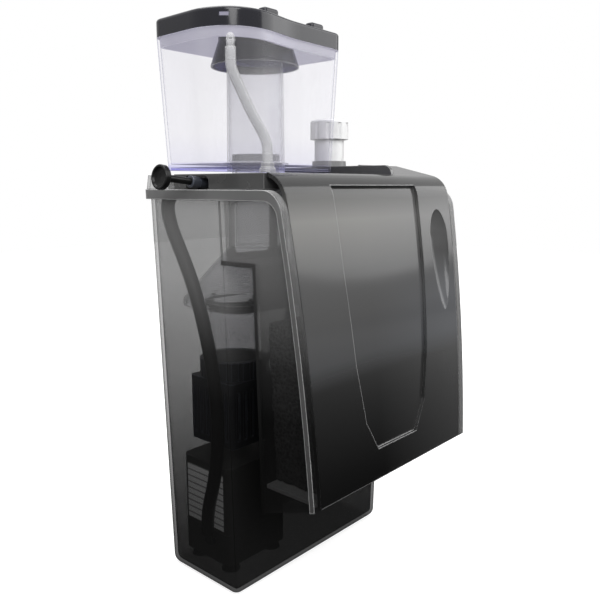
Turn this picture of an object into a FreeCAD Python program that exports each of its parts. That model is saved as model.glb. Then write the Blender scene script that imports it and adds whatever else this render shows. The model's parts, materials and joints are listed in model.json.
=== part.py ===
import FreeCAD, Part
import math
import os
import re

import Sketcher

# Hang-on protein skimmer: a smoked reactor box hangs outside the aquarium, a bridge passes over
# the tank's rim, and a hood with a bubble trap stands inside the tank.
# Frame: origin at the centre of the bridge's underside, where it rests on the rim. +X runs along
# the tank's glass, +Y points away from the tank, +Z points up. Millimetres.

doc = FreeCAD.newDocument("hang_on_skimmer")
sheet = doc.addObject("Spreadsheet::Sheet", "dims")

DRIVING = [
    # outer case
    ("case_width", 219, "width over the side walls at the rim"),
    ("case_back", 108, "outer face of the rear wall"),
    ("case_height", 330, "rim to floor"),
    ("rim_level", 55, "top of the rim"),
    ("side_draft", 2.14, "draft of each side wall, degrees"),
    ("front_lean", 3.4, "lean of the tank-facing wall over the height"),
    ("slot_gap", 30, "gap that straddles the tank's glass"),
    ("slot_corner", 5, "radius of the slot's inner corner at the tank's side"),
    ("wall", 3, "wall of the mouldings"),
    ("corner", 14, "outer radius of the rear corners and the floor"),
    ("near_corner", 8, "outer radius of the tank-facing corners"),
    ("bead_height", 7.65, "height of the rim bead"),
    ("bead_proud", 4, "how far the bead stands out"),
    ("bead_corner", 18, "radius where the bead turns down the hood"),
    ("port_near", 56, "port's edge nearer the middle"),
    ("port_far", 96, "port's outer edge"),
    ("port_low", 8, "port's sill"),
    ("port_high", 46, "port's top"),
    # hood and front cover
    ("hood_top_reach", 45.7, "front line's reach at the rim"),
    ("hood_foot_reach", 71.7, "front line's reach at the foot"),
    ("hood_foot", 167, "depth of the foot at the front"),
    ("hood_back_foot", 188, "depth of the foot at the hood's back wall"),
    ("front_bow", 1750, "radius of the front's gentle bow"),
    ("cover_crest", 76, "highest edge of the front cover"),
    ("cover_lip", 66.8, "lip of the cover beside the deck"),
    ("cover_lip_reach", 29.8, "reach of that lip"),
    ("cover_knee", 49, "level where the knee starts"),
    ("knee_radius", 22, "radius of the knee"),
    ("cover_wall", 3, "thickness of the cover's sheet"),
    ("notch_edge", 47.5, "edge of the cover's notch for the deck"),
    ("shield_depth", 2.6, "depth of the recessed shield"),
    ("slit", 0.4, "running gap round a loose part"),
    # deck
    ("deck_wall", 2.5, "wall of the deck cover"),
    ("deck_top", 66.5, "top of the deck round the cup"),
    ("deck_high", 75, "top of the raised right side"),
    # reaction chamber, cup and lid
    ("axis_x", -22, "axis of the riser"),
    ("axis_y", 67, "axis of the riser"),
    ("cup_x", -27, "reference point of the cup's plan"),
    ("cup_y", 62, "reference point of the cup's plan"),
    ("neck_r", 24, "outer radius of the chamber's neck"),
    ("spigot_r", 20.4, "outer radius of the spigot"),
    ("riser_bore", 22.9, "bore of the riser"),
    ("riser_top", 160, "top of the riser"),
    ("cup_base", 70, "underside of the cup"),
    ("cup_rim", 174, "rim of the cup"),
    ("cup_wall", 2, "wall of the cup"),
    ("cup_taper", 6, "how far each side draws in at the base"),
    ("lid_top", 188, "top of the lid"),
    # valve
    ("valve_y", 42, "valve axis"),
    ("valve_level", 60, "valve axis at the deck's side"),
    ("valve_tilt", 6.2, "droop of the valve axis, degrees"),
    ("valve_reach", 37, "deck's side to the knob's face"),
    ("stem_r", 2.6, "radius of the valve's stem"),
    # level adjuster
    ("level_x", 75, "axis of the level pipe"),
    ("level_y", 65.5, "axis of the level pipe"),
    ("pipe_r", 14, "outer radius of the level pipe"),
    # pump
    ("pump_x", -47.5, "pump axis"),
    ("pump_y", 72, "pump axis"),
    ("pump_long", 70, "pump body along the glass"),
    ("pump_deep", 60, "pump body across the box"),
    ("pump_foot", -264, "underside of the pump"),
    ("volute_top", -236, "top of the volute"),
    ("motor_top", -176, "top of the motor"),
    ("shaft_r", 2, "radius of the ceramic shaft"),
    ("housing_side", 54, "side of the bubble housing"),
    ("housing_top", -105, "top of the bubble housing"),
    ("housing_foot", -162, "underside of the bubble housing"),
    ("hose_r", 5.5, "outer radius of the air hose"),
    ("tube_r", 3.9, "outer radius of the clear tube"),
]

for row, (alias, value, meaning) in enumerate(DRIVING, start=1):
    sheet.set(f"A{row}", alias)
    sheet.set(f"B{row}", str(value))
    sheet.setAlias(f"B{row}", alias)
    sheet.set(f"C{row}", meaning)
doc.recompute()

ALIASES = re.compile(r"\b(" + "|".join(alias for alias, _, _ in DRIVING) + r")\b")
OVERLAP = 1.0          # how far a cutting tool runs past the face it cuts
subparts = []


def bound(text):
    """Expression on the sheet's cells, from one that uses their bare aliases."""
    return ALIASES.sub(r"dims.\1", str(text))


def number(text):
    """Value of an expression now."""
    return float(sheet.evalExpression(bound(text)))


def bind(thing, **expressions):
    """Bind properties of an object; a double underscore in a keyword stands for a dot."""
    for path, text in expressions.items():
        thing.setExpression(path.replace("__", "."), bound(text))


def keep(thing, label):
    """Label a finished object and list it as a sub-part."""
    thing.Label = label
    subparts.append(thing)
    return thing


def half(level, inset=0):
    """Half-width of the drafted case at a level, less an inset, as an expression."""
    return f"(case_width / 2 - (rim_level - ({level})) * tan(side_draft * 1 deg) - ({inset}))"


# --- sketches ---------------------------------------------------------------------------------

def draw(sketch, points):
    """Closed outline. A point is (x, y), or (x, y, radius) where an arc of that radius leads to
    it, turning left when the radius is positive and right when it is negative."""
    places = [FreeCAD.Vector(number(p[0]), number(p[1]), 0) for p in points]
    edges = []
    for index, point in enumerate(points):
        start, end = places[index - 1], places[index]
        if len(point) == 3:
            radius = number(point[2])
            chord = end - start
            left = FreeCAD.Vector(-chord.y, chord.x, 0).normalize()
            rise = math.sqrt(max(radius * radius - chord.Length ** 2 / 4, 0))
            centre = (start + end) / 2 + left * math.copysign(rise, radius)
            bulge = centre - left * math.copysign(abs(radius), radius)
            edges.append(sketch.addGeometry(Part.Arc(start, bulge, end)))
        else:
            edges.append(sketch.addGeometry(Part.LineSegment(start, end)))
    ends = []
    for edge, point in zip(edges, points):
        turns_left = len(point) == 3 and number(point[2]) > 0
        # An arc is stored anticlockwise, so one that turns right ends at its stored start.
        ends.append((1, 2) if len(point) == 2 or turns_left else (2, 1))
    for index, point in enumerate(points):
        fix(sketch, edges[index], ends[index][1], point)
        following = (index + 1) % len(points)
        sketch.addConstraint(Sketcher.Constraint(
            "Coincident", edges[index], ends[index][1], edges[following], ends[following][0]))
        if len(point) == 3:
            size(sketch, edges[index], f"abs({point[2]})")


def fix(sketch, edge, end, point):
    """Hold one end of an edge at a bound place."""
    for kind, text in (("DistanceX", point[0]), ("DistanceY", point[1])):
        at = sketch.addConstraint(Sketcher.Constraint(kind, -1, 1, edge, end, number(text)))
        sketch.setExpression(f"Constraints[{at}]", bound(text))


def size(sketch, edge, text):
    """Bind the radius of an arc or circle."""
    at = sketch.addConstraint(Sketcher.Constraint("Radius", edge, number(text)))
    sketch.setExpression(f"Constraints[{at}]", bound(text))


def ring(sketch, x, y, radius):
    """Circle with a bound centre and radius."""
    centre = FreeCAD.Vector(number(x), number(y), 0)
    edge = sketch.addGeometry(Part.Circle(centre, FreeCAD.Vector(0, 0, 1), number(radius)))
    fix(sketch, edge, 3, (x, y))
    size(sketch, edge, radius)


def rectangle(x0, x1, y0, y1):
    """Corners of a rectangle, anticlockwise."""
    return [(x1, y0), (x1, y1), (x0, y1), (x0, y0)]


def soft_rectangle(x0, x1, y0, y1, radius):
    """Rectangle with rounded corners, anticlockwise."""
    return [
        (f"{x1} - {radius}", y0), (x1, f"{y0} + {radius}", radius),
        (x1, f"{y1} - {radius}"), (f"{x1} - {radius}", y1, radius),
        (f"{x0} + {radius}", y1), (x0, f"{y1} - {radius}", radius),
        (x0, f"{y0} + {radius}"), (f"{x0} + {radius}", y0, radius),
    ]


def soften(corners):
    """Outline with rounded corners, from (x, y, radius) corners in anticlockwise order."""
    places = [FreeCAD.Vector(number(x), number(y), 0) for x, y, _ in corners]
    points = []
    for index, (x, y, radius) in enumerate(corners):
        back = (places[index - 1] - places[index]).normalize()
        ahead = (places[(index + 1) % len(places)] - places[index]).normalize()
        reach = math.tan((math.pi - back.getAngle(ahead)) / 2)
        sign = "" if ahead.cross(back).z > 0 else "-"
        for run, arc in ((back, ()), (ahead, (f"{sign}({radius})",))):
            points.append((f"{x} + ({radius}) * {reach * run.x:.5f}",
                           f"{y} + ({radius}) * {reach * run.y:.5f}", *arc))
    return points


# --- bodies with features ---------------------------------------------------------------------

def new_body(label, at=(0, 0, 0), turn=None):
    """Sub-part body placed at a bound point, turned about one axis if asked."""
    body = keep(doc.addObject("PartDesign::Body", label), label)
    if turn:
        axis, degrees = turn
        body.Placement = FreeCAD.Placement(
            FreeCAD.Vector(), FreeCAD.Rotation(FreeCAD.Vector(*axis), number(degrees)))
    bind(body, Placement__Base__x=at[0], Placement__Base__y=at[1], Placement__Base__z=at[2])
    return body


def new_sketch(body, plane="XY_Plane", level=0):
    """Empty sketch on one of the body's origin planes, moved along its normal to a level."""
    sketch = body.newObject("Sketcher::SketchObject", body.Label + "_sketch")
    role = [feature for feature in body.Origin.OriginFeatures if feature.Role == plane]
    sketch.AttachmentSupport = [(role[0], "")]
    sketch.MapMode = "FlatFace"
    bind(sketch, AttachmentOffset__Base__z=level)
    return sketch


def pad(body, sketch, length):
    """Add a sketch's area, grown along its normal."""
    feature = body.newObject("PartDesign::Pad", body.Label + "_pad")
    feature.Profile = sketch
    bind(feature, Length=length)
    return feature


def pocket(body, sketch, depth=None, upward=True):
    """Cut a sketch through everything, or to a depth, along or against its normal."""
    before = volume(body)
    feature = body.newObject("PartDesign::Pocket", body.Label + "_pocket")
    feature.Profile = sketch
    feature.Reversed = upward
    if depth is None:
        feature.Type = "ThroughAll"
    else:
        bind(feature, Length=depth)
    doc.recompute()
    if volume(body) >= before:
        raise RuntimeError(f"{body.Label}: a pocket cuts nothing")
    return feature


def volume(body):
    """Volume of a body, brought up to date first."""
    doc.recompute()
    return body.Shape.Volume


def turned(label, profile, at=(0, 0, 0), turn=None):
    """Body of revolution about its own Z axis from a closed (radius, level) profile."""
    body = new_body(label, at, turn)
    sketch = new_sketch(body, "XZ_Plane")
    draw(sketch, profile)
    feature = body.newObject("PartDesign::Revolution", label + "_turning")
    feature.Profile = sketch
    feature.ReferenceAxis = (sketch, ["V_Axis"])
    feature.Angle = 360
    return body


def plate(label, outline, low, high, at=(0, 0, 0)):
    """Body padded from a flat outline between two levels."""
    body = new_body(label, at)
    sketch = new_sketch(body, "XY_Plane", low)
    draw(sketch, outline)
    pad(body, sketch, f"({high}) - ({low})")
    return body


def around(body, feature, count):
    """Repeat a feature about the body's Z axis."""
    pattern = body.newObject("PartDesign::PolarPattern", body.Label + "_pattern")
    pattern.Originals = [feature]
    upright = [item for item in body.Origin.OriginFeatures if item.Role == "Z_Axis"]
    pattern.Axis = (upright[0], [""])
    pattern.Angle = 360
    pattern.Occurrences = count
    body.Tip = pattern
    doc.recompute()
    return pattern


def along(body, feature, axis, length, count):
    """Repeat a feature in a line."""
    pattern = body.newObject("PartDesign::LinearPattern", body.Label + "_pattern")
    pattern.Originals = [feature]
    line = [item for item in body.Origin.OriginFeatures if item.Role == axis]
    pattern.Direction = (line[0], [""])
    bind(pattern, Length=length)
    pattern.Occurrences = count
    body.Tip = pattern
    doc.recompute()
    return pattern


def round_edges(body, radius, choose):
    """Fillet the edges of the body's tip that choose(edge) picks."""
    doc.recompute()
    tip = body.Tip
    names = [f"Edge{i}" for i, edge in enumerate(tip.Shape.Edges, start=1) if choose(edge)]
    feature = body.newObject("PartDesign::Fillet", body.Label + "_fillet")
    feature.Base = (tip, names)
    bind(feature, Radius=radius)
    doc.recompute()
    return feature


def placed(kind, name, at, heading=(0, 0, 1), **sizes):
    """Part primitive at a bound place, its own Z axis along a heading."""
    thing = doc.addObject(kind, name)
    thing.Placement = FreeCAD.Placement(FreeCAD.Vector(), FreeCAD.Rotation(
        FreeCAD.Vector(0, 0, 1), FreeCAD.Vector(*heading)))
    bind(thing, Placement__Base__x=at[0], Placement__Base__y=at[1], Placement__Base__z=at[2],
         **sizes)
    return thing


def is_upright(edge):
    """True for a straight edge that runs mostly up and down."""
    run = edge.Vertexes[-1].Point - edge.Vertexes[0].Point
    return abs(run.z) > 0.7 * edge.Length


# --- solids for booleans ----------------------------------------------------------------------

PLANES = {
    "x": FreeCAD.Rotation(FreeCAD.Vector(1, 1, 1), 120),
    "y": FreeCAD.Rotation(FreeCAD.Vector(1, 0, 0), 90),
    "z": FreeCAD.Rotation(),
}


def prism(name, axis, low, high, points):
    """Outline swept along a row axis, from low to high."""
    sketch = doc.addObject("Sketcher::SketchObject", name + "_outline")
    sketch.Placement = FreeCAD.Placement(FreeCAD.Vector(), PLANES[axis])
    start = high if axis == "y" else low
    sketch.setExpression(f"Placement.Base.{axis}", bound(start))
    draw(sketch, points)
    solid = doc.addObject("Part::Extrusion", name)
    solid.Base = sketch
    solid.DirMode = "Normal"
    solid.Solid = True
    bind(solid, LengthFwd=f"({high}) - ({low})")
    return solid


def drafted_block(name, low, high, near_low, near_high, far, inset=0):
    """Block between two levels whose sides follow the case's draft, set in by inset."""
    block = doc.addObject("Part::Wedge", name)
    block.Placement = FreeCAD.Placement(FreeCAD.Vector(), PLANES["y"])
    bind(
        block, Ymin=low, Ymax=high,
        Xmin="-" + half(low, inset), Xmax=half(low, inset),
        X2min="-" + half(high, inset), X2max=half(high, inset),
        Zmin=f"-({far})", Zmax=f"-({near_low})", Z2min=f"-({far})", Z2max=f"-({near_high})",
    )
    return block


def rounded(name, solid, picks):
    """Fillet a solid: picks is a list of (choose, radius)."""
    doc.recompute()
    edges = []
    for index, edge in enumerate(solid.Shape.Edges, start=1):
        for choose, radius in picks:
            if choose(edge):
                edges.append((index, number(radius), number(radius)))
                break
    fillet = doc.addObject("Part::Fillet", name)
    fillet.Base = solid
    fillet.Edges = edges
    return fillet


def common(name, first, second):
    """What two solids share."""
    result = doc.addObject("Part::Common", name)
    result.Base = first
    result.Tool = second
    return result


def cut(name, base, *tools):
    """A solid less each of the tools."""
    for index, tool in enumerate(tools):
        result = doc.addObject("Part::Cut", f"{name}_{index}")
        result.Base = base
        result.Tool = tool
        base = result
    return base


def fuse(name, *solids):
    """Several solids joined in one."""
    result = doc.addObject("Part::MultiFuse", name)
    result.Shapes = list(solids)
    result.Refine = True
    return result


def tube_along(label, points, radius, bore):
    """Hose drawn smoothly towards a few points. A hose bends in three dimensions, so its solid is
    swept along a curve and set directly; its sizes come from the sheet."""
    curve = Part.BSplineCurve()
    poles = [FreeCAD.Vector(*(number(text) for text in point)) for point in points]
    curve.buildFromPoles(poles, False, 3)
    spine = Part.Wire([curve.toShape()])
    direction = curve.tangent(curve.FirstParameter)[0]
    start = curve.value(curve.FirstParameter)

    def pipe(size_text):
        circle = Part.Wire([Part.makeCircle(number(size_text), start, direction)])
        return spine.makePipeShell([circle], True, False)

    hose = doc.addObject("Part::Feature", label)
    hose.Shape = pipe(radius).cut(pipe(bore)) if bore else pipe(radius)
    hose.Placement = FreeCAD.Placement()
    if hose.Shape.Volume < 1:
        raise ValueError(f"{label} has no volume")
    return keep(hose, label)


# --- outer case -------------------------------------------------------------------------------

FLOOR = "(rim_level - case_height)"
NEAR_WALL = "slot_gap / 2"                       # tank-facing face of the reactor box
FRONT_TURN = 10.2                                # lean of the hood's front line at the rim
TOP_SLOPE = 13                                   # slope of the cover's raised right side
KNEE_REACH = "(-hood_top_reach - 2.9)"           # front of the rim bead where it turns down
CABLE_EXIT = (70, 34)                            # X and level of the hole in the rear wall


def hood_line(depth):
    """Front line of the hood set in by a depth: foot, knee start, lip and crest points."""
    tilt, slope = math.radians(FRONT_TURN), math.radians(TOP_SLOPE)
    along_front = (math.cos(tilt), math.sin(tilt))
    along_top = (math.sin(slope), math.cos(slope))
    foot = (f"-hood_foot_reach + ({depth}) * 1.01", "-hood_foot")
    knee = (
        f"-hood_top_reach - (rim_level - cover_knee) * 0.18 + ({depth}) * {along_front[0]:.3f}",
        f"cover_knee - ({depth}) * {along_front[1]:.3f}",
    )
    lip = (
        f"-cover_lip_reach + ({depth}) * {along_top[0]:.3f}",
        f"cover_lip - ({depth}) * {along_top[1]:.3f}",
    )
    crest = (
        f"-cover_lip_reach + 39.3 + ({depth}) * {along_top[0]:.3f}",
        f"cover_crest - ({depth}) * {along_top[1]:.3f}",
    )
    return foot, knee, lip, crest


def build_outer_case():
    """Reactor box, bridge and hood sides: one drafted moulding with a rolled rim bead."""

    def corner_choice(rear):
        def choose(edge):
            return is_upright(edge) and (edge.CenterOfMass.y > 60) == rear
        return choose

    def on_floor(edge):
        return edge.BoundBox.ZMax < number(FLOOR) + 2 * number("wall")

    box = drafted_block(
        "reactor_block", FLOOR, "rim_level",
        f"{NEAR_WALL} + front_lean", NEAR_WALL, "case_back")
    box = rounded("reactor_form", box, [
        (corner_choice(True), "corner"), (corner_choice(False), "near_corner"),
        (on_floor, "near_corner")])
    hollow = drafted_block(
        "reactor_hollow", f"{FLOOR} + wall", f"rim_level + {OVERLAP}",
        f"{NEAR_WALL} + front_lean + wall", f"{NEAR_WALL} + wall", "case_back - wall", "wall")
    hollow = rounded("reactor_room", hollow, [
        (corner_choice(True), "corner - wall"), (corner_choice(False), "near_corner - wall"),
        (on_floor, "near_corner - wall")])

    # Side view of the hood and the bridge, with the slot that straddles the glass.
    knee = (KNEE_REACH, "rim_level - bead_corner * 0.83")
    shoulder = (f"{KNEE_REACH} + bead_corner * 0.99", "rim_level")
    side_view = prism("hood_side_view", "x", "-case_width", "case_width", [
        ("-hood_foot_reach", "-hood_foot", "front_bow"),
        ("-slot_gap / 2", "-hood_back_foot"),
        ("-slot_gap / 2", "-slot_corner"),
        ("-slot_gap / 2 + slot_corner", "0", "-slot_corner"),
        (f"{NEAR_WALL} + wall", "0"),
        (f"{NEAR_WALL} + wall", "rim_level"),
        shoulder,
        (*knee, "bead_corner"),
    ])
    hood = common("hood_form", side_view, drafted_block(
        "hood_block", "-hood_back_foot - 1", "rim_level + 1", "-90", "-90", f"{NEAR_WALL} + wall"))
    between_sides = drafted_block(
        "hood_hollow", "-hood_back_foot - 2", "rim_level + 2",
        "-95", "-95", "-slot_gap / 2 - wall", "wall")
    channel = drafted_block(
        "bridge_channel", "wall", "rim_level + 2",
        "-slot_gap / 2 - 2 * wall", "-slot_gap / 2 - 2 * wall", NEAR_WALL, "wall")

    # Rim bead: the same side view, wider, kept only as a band along its upper and front edges.
    band_width = "bead_height * 0.6"
    band = prism("bead_band", "x", "-case_width", "case_width", [
        ("-hood_foot_reach", "-hood_foot", "front_bow"),
        (f"-hood_foot_reach + {band_width}", "-hood_foot - 1.5"),
        (f"{KNEE_REACH} + {band_width}", "rim_level - bead_corner * 0.9", "-front_bow"),
        (shoulder[0], "rim_level - bead_height", f"-bead_corner + {band_width}"),
        ("case_back + bead_proud", "rim_level - bead_height"),
        ("case_back + bead_proud", "rim_level"),
        shoulder,
        (*knee, "bead_corner"),
    ])
    wide = drafted_block(
        "bead_block", "-hood_back_foot - 1", "rim_level", "-90", "-90",
        "case_back + bead_proud", "-bead_proud")
    wide = rounded("bead_form", wide, [(corner_choice(True), "corner + bead_proud")])
    bead_hollow = drafted_block(
        "bead_hollow", "-hood_back_foot - 2", "rim_level + 1",
        "-95", "-95", f"{NEAR_WALL} + wall / 2", "wall")
    bead = cut("bead", common("bead_ring", band, wide), bead_hollow)

    port = prism("port", "y", f"{NEAR_WALL} - 2", f"{NEAR_WALL} + 2 * wall", soft_rectangle(
        "-port_far", "-port_near", "port_low", "port_high", "5"))
    exit_x, exit_level = CABLE_EXIT
    cable_hole = placed("Part::Cylinder", "cable_hole", (exit_x, "case_back - 10", exit_level),
                        heading=(0, 1, 0), Radius="6.5", Height="20")
    shell = fuse("case_solid", box, hood, bead, rim_tab())
    case = cut("outer_case", shell, hollow, between_sides, channel, port, cable_hole)
    return keep(case, "outer_case")


def rim_tab():
    """Low upstand on the left rim that shelters the hose's exit."""
    return prism("rim_tab", "x", "-case_width / 2", "-case_width / 2 + wall", [
        ("70", "rim_level - 2"), ("104", "rim_level - 2"), ("101", "66"), ("73", "66"),
    ])


# --- front cover ------------------------------------------------------------------------------

def cover_sheet(name, outer, inner):
    """Curved sheet of the front cover between two depths below its outer face."""
    foot, knee, lip, crest = hood_line(outer)
    foot_in, knee_in, lip_in, crest_in = hood_line(inner)
    return prism(name, "x", "-case_width", "case_width", [
        foot_in,
        (*knee_in, f"-(front_bow - ({inner}))"),
        (*lip_in, f"-(knee_radius - ({inner}))"),
        crest_in, crest,
        lip,
        (*knee, f"knee_radius - ({outer})"),
        (*foot, f"front_bow - ({outer})"),
    ])


def shield_outline(margin):
    """Front view of the recessed shield: it narrows downwards to a chamfered foot."""
    return [
        (f"27 + 0.4 * ({margin})", f"-143 - ({margin})"),
        (f"41 + ({margin})", f"-119 - 0.3 * ({margin})"),
        (f"49 + ({margin})", "-75"),
        (f"54 + ({margin})", "-6"),
        (f"56 + ({margin})", "58"),
        (f"-56 - ({margin})", "58"),
        (f"-54 - ({margin})", "-6"),
        (f"-49 - ({margin})", "-75"),
        (f"-41 - ({margin})", f"-119 - 0.3 * ({margin})"),
        (f"-27 - 0.4 * ({margin})", f"-143 - ({margin})"),
    ]


def build_front_cover():
    """Smoked front sheet with a recessed shield and a finger scoop; it lifts off upwards."""
    limits = prism("cover_limits", "y", "-90", "20", [
        (half("-hood_foot", "wall + slit"), "-hood_foot - 1"),
        (half("cover_crest", "wall + slit"), "cover_crest + 1"),
        ("-" + half("cover_crest", "wall + slit"), "cover_crest + 1"),
        ("-" + half("-hood_foot", "wall + slit"), "-hood_foot - 1"),
    ])
    window = prism("shield_window", "y", "-90", "0", shield_outline(0))
    frame = prism("shield_frame", "y", "-90", "0", shield_outline("cover_wall"))
    notch = prism("deck_notch", "z", "cover_knee", "cover_crest + 5", rectangle(
        "-case_width", "notch_edge", "-cover_lip_reach + 0.6", "20"))
    outer = cover_sheet("cover_skin", "0", "cover_wall")
    panel = common("shield_panel", cover_sheet(
        "cover_inner", "shield_depth", "shield_depth + cover_wall"), frame)
    bulge = common("scoop_bulge", teardrop("scoop_outside", 2.4), cover_sheet(
        "scoop_limit", "0.4", "16"))
    solid = fuse("cover_solid", cut("cover_open", outer, window), panel, bulge)
    trimmed = common("cover_trimmed", solid, limits)
    keep(cut("front_cover", trimmed, notch, teardrop("scoop", 0)), "front_cover")


SCOOP_PLACE = (83, -58.5, 15)                    # widest level, just outside the sheet
SCOOP_LEAN = 8.3                                 # follows the lean of the sheet
SCOOP_WIDE = 15.2                                # greatest radius
SCOOP_CURVES = (232, 36.7)                       # radii of the long foot and the round top


def teardrop(name, margin):
    """Drop-shaped spindle that hollows the finger scoop: round above, drawn out below."""
    body = doc.addObject("PartDesign::Body", name)
    body.Placement = FreeCAD.Placement(
        FreeCAD.Vector(*SCOOP_PLACE), FreeCAD.Rotation(FreeCAD.Vector(1, 0, 0), -SCOOP_LEAN))
    wide = SCOOP_WIDE + margin
    below, above = (radius + margin for radius in SCOOP_CURVES)
    foot, top = (math.sqrt(2 * radius * wide - wide ** 2) for radius in (below, above))
    sketch = new_sketch(body, "XZ_Plane")
    draw(sketch, [("0", -foot), (wide, "0", below), ("0", top, above)])
    feature = body.newObject("PartDesign::Revolution", name + "_turning")
    feature.Profile = sketch
    feature.ReferenceAxis = (sketch, ["V_Axis"])
    feature.Angle = 360
    return body


# --- deck -------------------------------------------------------------------------------------

def build_deck_cover():
    """Dark cover over the box and bridge: low round the cup, raised on the right."""
    plan = [
        ("case_width / 2 - wall - 1", "11"),
        ("case_width / 2 - wall - 1", "case_back - wall - 1"),
        ("-88", "case_back - wall - 1"),
        ("-88", "69"),
        ("-case_width / 2 + 1.2", "69"),
        ("-case_width / 2 + 1.2", "-cover_lip_reach + 1.6"),
        ("notch_edge - slit", "-cover_lip_reach + 1.6"),
        ("notch_edge - slit", "11"),
    ]
    inner = [
        ("case_width / 2 - wall - 1 - deck_wall", "11 + deck_wall"),
        ("case_width / 2 - wall - 1 - deck_wall", "case_back - wall - 1 - deck_wall"),
        ("-88 + deck_wall", "case_back - wall - 1 - deck_wall"),
        ("-88 + deck_wall", "69 - deck_wall"),
        ("-case_width / 2 + 1.2 + deck_wall", "69 - deck_wall"),
        ("-case_width / 2 + 1.2 + deck_wall", "-cover_lip_reach + 1.6 + deck_wall"),
        ("notch_edge - slit - deck_wall", "-cover_lip_reach + 1.6 + deck_wall"),
        ("notch_edge - slit - deck_wall", "11 + deck_wall"),
    ]
    body = new_body("deck_cover")
    skirt_foot = "rim_level + slit"
    sketch = new_sketch(body, "XY_Plane", skirt_foot)
    draw(sketch, plan)
    pad(body, sketch, f"deck_top - ({skirt_foot})")

    # The raised right side, with a thin black fin that runs forward along the notch.
    raised = [
        ("case_width / 2 - wall - 1", "11"),
        ("case_width / 2 - wall - 1", "case_back - wall - 1"),
        ("notch_edge + 6", "case_back - wall - 1"),
        ("notch_edge - slit - deck_wall - 1", "40"),
        ("notch_edge - slit - deck_wall - 1", "11"),
    ]
    sketch = new_sketch(body, "XY_Plane", f"deck_top - {OVERLAP}")
    draw(sketch, raised)
    pad(body, sketch, f"deck_high - deck_top + {OVERLAP}")
    sketch = new_sketch(body, "YZ_Plane", "notch_edge - slit - deck_wall - 1")
    draw(sketch, [
        ("12", "deck_top - 2"), ("12", "deck_high"),
        ("-cover_lip_reach + 8.5", "deck_high"),
        ("-cover_lip_reach + 1.6", "deck_top + 0.8", "9"),
        ("-cover_lip_reach + 1.6", "deck_top - 2"),
    ])
    pad(body, sketch, "deck_wall + 1")

    sketch = new_sketch(body, "XY_Plane", f"{skirt_foot} - {OVERLAP}")
    draw(sketch, inner)
    pocket(body, sketch, f"deck_top - deck_wall - ({skirt_foot}) + {OVERLAP}")
    sketch = new_sketch(body, "XY_Plane", f"deck_top - deck_wall - {OVERLAP}")
    draw(sketch, [
        ("case_width / 2 - wall - 1 - deck_wall", "11 + deck_wall"),
        ("case_width / 2 - wall - 1 - deck_wall", "case_back - wall - 1 - deck_wall"),
        ("notch_edge + 6 + deck_wall", "case_back - wall - 1 - deck_wall"),
        ("notch_edge + deck_wall", "40"),
        ("notch_edge + deck_wall", "11 + deck_wall"),
    ])
    pocket(body, sketch, f"deck_high - deck_top + {OVERLAP}")

    # Openings: the chamber's neck, the level pipe and the arch for the air valve.
    sketch = new_sketch(body)
    ring(sketch, "axis_x", "axis_y", "neck_r + 1")
    ring(sketch, "level_x", "level_y", "pipe_r + 0.6")
    pocket(body, sketch)
    sketch = new_sketch(body, "YZ_Plane", "-case_width / 2")
    draw(sketch, [
        ("valve_y - 13", "rim_level - 1"),
        ("valve_y + 14", "rim_level - 1"),
        ("valve_y + 14", "deck_top - 4.5"),
        ("valve_y + 11", "deck_top - 1.2", "3"),
        ("valve_y - 8", "deck_top - 1.2"),
        ("valve_y - 13", "deck_top - 6", "5"),
    ])
    pocket(body, sketch, "4 + deck_wall")

    # Notch under the rear of the left skirt, where the hose passes.
    sketch = new_sketch(body, "XY_Plane", "rim_level")
    draw(sketch, rectangle("-97 - hose_r - 1.5", "-97 + hose_r + 1.5", "69 - deck_wall - 1", "70"))
    pocket(body, sketch, "7")


# --- hood internals ---------------------------------------------------------------------------

GRILLE_TOP = "(-hood_foot + 3.2)"


def build_outlet_grille():
    """Slotted floor of the hood."""
    side = half("-hood_foot", "wall + 0.3")
    body = plate("outlet_grille", [
        (side, "-slot_gap / 2 - wall - 0.3"), ("-" + side, "-slot_gap / 2 - wall - 0.3"),
        ("-" + side, "-hood_foot_reach + 5"), (side, "-hood_foot_reach + 5"),
    ], f"{GRILLE_TOP} - 3", GRILLE_TOP)
    slots = 22
    pitch = 8
    first = -(slots - 1) * pitch / 2
    sketch = new_sketch(body, "XY_Plane", f"{GRILLE_TOP} - 4")
    draw(sketch, soft_rectangle(
        f"({first} - 2)", f"({first} + 2)", "(-hood_foot_reach + 11)", "(-slot_gap / 2 - 9)",
        "1.9"))
    along(body, pocket(body, sketch), "X_Axis", (slots - 1) * pitch, slots)


def build_bubble_trap_foam():
    """Coarse foam block that strips bubbles from the water in the hood."""
    side = prism("foam_side_view", "x", "-case_width / 2", "case_width / 2", [
        ("-slot_gap / 2 - wall - 1", f"{GRILLE_TOP} + 0.3"),
        ("-slot_gap / 2 - wall - 1", "-39"),
        ("-57 + cover_wall + shield_depth + 2.5", "-39"),
        ("-hood_foot_reach + cover_wall + shield_depth + 3", f"{GRILLE_TOP} + 0.3"),
    ])
    front = prism("foam_front_view", "y", "-90", "0", [
        (half("-hood_foot", "wall + 9"), "-hood_foot"), (half("-39", "wall + 6"), "-38"),
        ("-" + half("-39", "wall + 6"), "-38"),
        ("-" + half("-hood_foot", "wall + 9"), "-hood_foot"),
    ])
    keep(common("bubble_trap_foam", side, front), "bubble_trap_foam")


# --- reaction chamber, riser and cup ----------------------------------------------------------

AXIS = ("axis_x", "axis_y", "0")


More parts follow.
